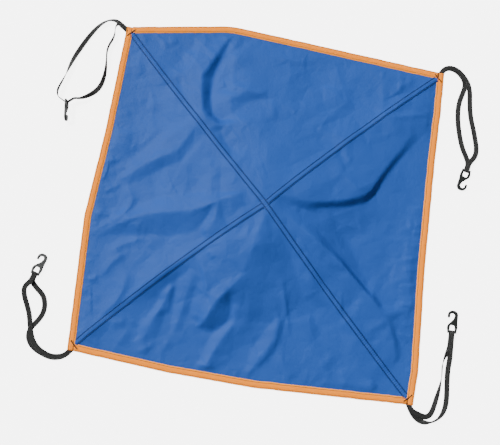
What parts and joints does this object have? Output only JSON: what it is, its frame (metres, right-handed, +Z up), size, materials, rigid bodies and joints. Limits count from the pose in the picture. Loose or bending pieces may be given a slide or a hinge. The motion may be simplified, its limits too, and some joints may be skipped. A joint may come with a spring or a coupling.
{
  "type": "hook-on fabric panel",
  "caption": "Square bound fabric panel sewn from triangles, laid loosely, with an elastic loop and plastic hook at each corner.",
  "frame": {"origin": "middle of the bound panel's outline, at the height of the ground that it lies on", "axes": "+Z up from the ground, +X along the bottom edge to the right, +Y from the bottom edge to the top edge"},
  "size_m": [0.6231, 0.5355, 0.0323],
  "materials": {
    "cloth": "coated ripstop-free taffeta, slight sheen",
    "seam_cloth": "the same taffeta, folded and sewn",
    "binding_tape": "ribbed woven tape",
    "seam_thread": "polyester sewing thread",
    "binding_thread": "polyester sewing thread",
    "tack_thread": "dense polyester stitches",
    "elastic": "flat woven elastic",
    "hook_plastic": "moulded, softly shiny"
  },
  "bodies": {
    "root": {"cloth_panel_top": "cloth", "cloth_panel_right": "cloth", "cloth_panel_bottom": "cloth", "cloth_panel_left": "cloth", "seam_main": "seam_cloth", "seam_main_stitches": "seam_thread", "seam_left": "seam_cloth", "seam_left_stitches": "seam_thread", "seam_right": "seam_cloth", "seam_right_stitches": "seam_thread", "binding_top": "binding_tape", "binding_top_stitches": "binding_thread", "binding_right": "binding_tape", "binding_right_stitches": "binding_thread", "binding_bottom": "binding_tape", "binding_bottom_stitches": "binding_thread", "binding_left": "binding_tape", "binding_left_stitches": "binding_thread", "bar_tack_top_left": "tack_thread", "elastic_tab_top_left": "elastic", "bar_tack_top_right": "tack_thread", "elastic_tab_top_right": "elastic", "bar_tack_bottom_right": "tack_thread", "elastic_tab_bottom_right": "elastic", "bar_tack_bottom_left": "tack_thread", "elastic_tab_bottom_left": "elastic"},
    "loop_top_left": {"elastic_strands_top_left": "elastic"},
    "bight_top_left": {"elastic_bight_top_left": "elastic"},
    "swivel_hook_top_left": {"hook_top_left": "hook_plastic"},
    "loop_top_right": {"elastic_strands_top_right": "elastic"},
    "bight_top_right": {"elastic_bight_top_right": "elastic"},
    "swivel_hook_top_right": {"hook_top_right": "hook_plastic"},
    "loop_bottom_right": {"elastic_strands_bottom_right": "elastic"},
    "bight_bottom_right": {"elastic_bight_bottom_right": "elastic"},
    "swivel_hook_bottom_right": {"hook_bottom_right": "hook_plastic"},
    "loop_bottom_left": {"elastic_strands_bottom_left": "elastic"},
    "bight_bottom_left": {"elastic_bight_bottom_left": "elastic"},
    "swivel_hook_bottom_left": {"hook_bottom_left": "hook_plastic"}
  },
  "joints": [
    {"name": "swing_top_left", "type": "hinge", "parent": "root", "child": "loop_top_left", "pos_m": [-0.24067, 0.23489, 0.00125], "axis": [-0.8957, 0.4446, 0], "range_deg": [-90, 90]},
    {"name": "stretch_top_left", "type": "slide", "parent": "loop_top_left", "child": "bight_top_left", "axis": [-0.4446, -0.8957, 0], "range_m": [0, 0.06], "stiffness_N_per_m": 120, "deforming": ["elastic_strands_top_left"]},
    {"name": "swivel_top_left", "type": "hinge", "parent": "bight_top_left", "child": "swivel_hook_top_left", "pos_m": [-0.30364, 0.10806, 0.00735], "axis": [0, 0, 1], "range_deg": [-75, 75]},
    {"name": "swing_top_right", "type": "hinge", "parent": "root", "child": "loop_top_right", "pos_m": [0.23809, 0.2351, 0.00125], "axis": [-0.9482, -0.3178, 0], "range_deg": [-90, 90]},
    {"name": "stretch_top_right", "type": "slide", "parent": "loop_top_right", "child": "bight_top_right", "axis": [0.3178, -0.9482, 0], "range_m": [0, 0.06], "stiffness_N_per_m": 120, "deforming": ["elastic_strands_top_right"]},
    {"name": "swivel_top_right", "type": "hinge", "parent": "bight_top_right", "child": "swivel_hook_top_right", "pos_m": [0.28706, 0.08896, 0.0027], "axis": [-0.9816, 0.1908, 0], "range_deg": [-130, 130]},
    {"name": "swing_bottom_right", "type": "hinge", "parent": "root", "child": "loop_bottom_right", "pos_m": [0.24189, -0.25408, 0.00125], "axis": [0.9192, -0.3937, 0], "range_deg": [-90, 90]},
    {"name": "stretch_bottom_right", "type": "slide", "parent": "loop_bottom_right", "child": "bight_bottom_right", "axis": [0.3937, 0.9192, 0], "range_m": [0, 0.06], "stiffness_N_per_m": 120, "deforming": ["elastic_strands_bottom_right"]},
    {"name": "swivel_bottom_right", "type": "hinge", "parent": "bight_bottom_right", "child": "swivel_hook_bottom_right", "pos_m": [0.28876, -0.14464, 0.0027], "axis": [1, 0, 0], "range_deg": [-130, 130]},
    {"name": "swing_bottom_left", "type": "hinge", "parent": "root", "child": "loop_bottom_left", "pos_m": [-0.23552, -0.24874, 0.00125], "axis": [0.8351, 0.55, 0], "range_deg": [-90, 90]},
    {"name": "stretch_bottom_left", "type": "slide", "parent": "loop_bottom_left", "child": "bight_bottom_left", "axis": [-0.55, 0.8351, 0], "range_m": [0, 0.06], "stiffness_N_per_m": 120, "deforming": ["elastic_strands_bottom_left"]},
    {"name": "swivel_bottom_left", "type": "hinge", "parent": "bight_bottom_left", "child": "swivel_hook_bottom_left", "pos_m": [-0.30204, -0.14774, 0.0027], "axis": [0.9659, -0.2588, 0], "range_deg": [-130, 130]}
  ]
}
